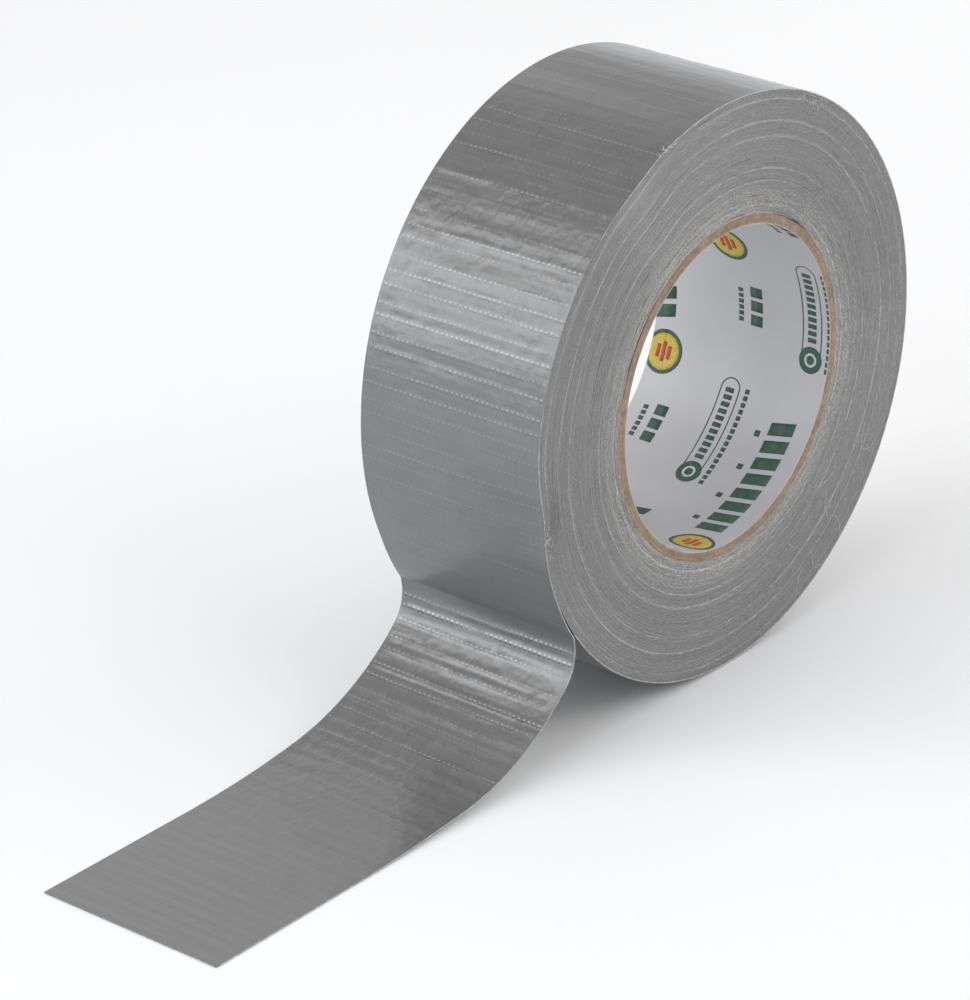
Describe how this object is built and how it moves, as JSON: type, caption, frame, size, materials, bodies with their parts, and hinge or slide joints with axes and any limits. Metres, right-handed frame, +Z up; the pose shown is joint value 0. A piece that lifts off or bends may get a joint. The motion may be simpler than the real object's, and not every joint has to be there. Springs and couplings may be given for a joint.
{
  "type": "duct tape roll",
  "caption": "Roll of silver-grey cloth-backed duct tape on a cardboard core, standing on its edge, with a free tail of tape peeled off and laid along the surface.",
  "frame": {"origin": "centre of the core's bore, halfway along it", "axes": "+X along the core's axis, out of the side face that shows with the tail running to the left; the free tail runs towards -Y; +Z up, with the roll and the tail resting on the plane through their lowest points"},
  "size_m": [0.05, 0.2425, 0.138],
  "materials": {
    "tape_film": "satin",
    "tape_cloth": "matte",
    "tape_adhesive": "satin",
    "tape_edge": "matte",
    "core_board": "matte",
    "liner_paper": "satin"
  },
  "bodies": {
    "tail": {"tail_adhesive": "tape_adhesive", "tail_cloth": "tape_cloth", "tail_film": "tape_film"},
    "roll": {"core_liner": "liner_paper", "core_inner_ply": "core_board", "core_second_ply": "core_board", "core_third_ply": "core_board", "core_outer_ply": "core_board", "wound_tape": "tape_edge", "outer_turn_adhesive": "tape_adhesive", "outer_turn_cloth": "tape_cloth", "outer_turn_film": "tape_film"},
    "tail_end": {"tail_end_adhesive": "tape_adhesive", "tail_end_cloth": "tape_cloth", "tail_end_film": "tape_film"}
  },
  "joints": [
    {"name": "roll_spin", "type": "hinge", "parent": "tail", "child": "roll", "pos_m": [0, 0, 0], "axis": [1, 0, 0], "continuous": true},
    {"name": "end_lift", "type": "hinge", "parent": "tail", "child": "tail_end", "pos_m": [0, -0.1315, -0.06875], "axis": [-1, 0, 0], "range_deg": [0, 75]}
  ]
}
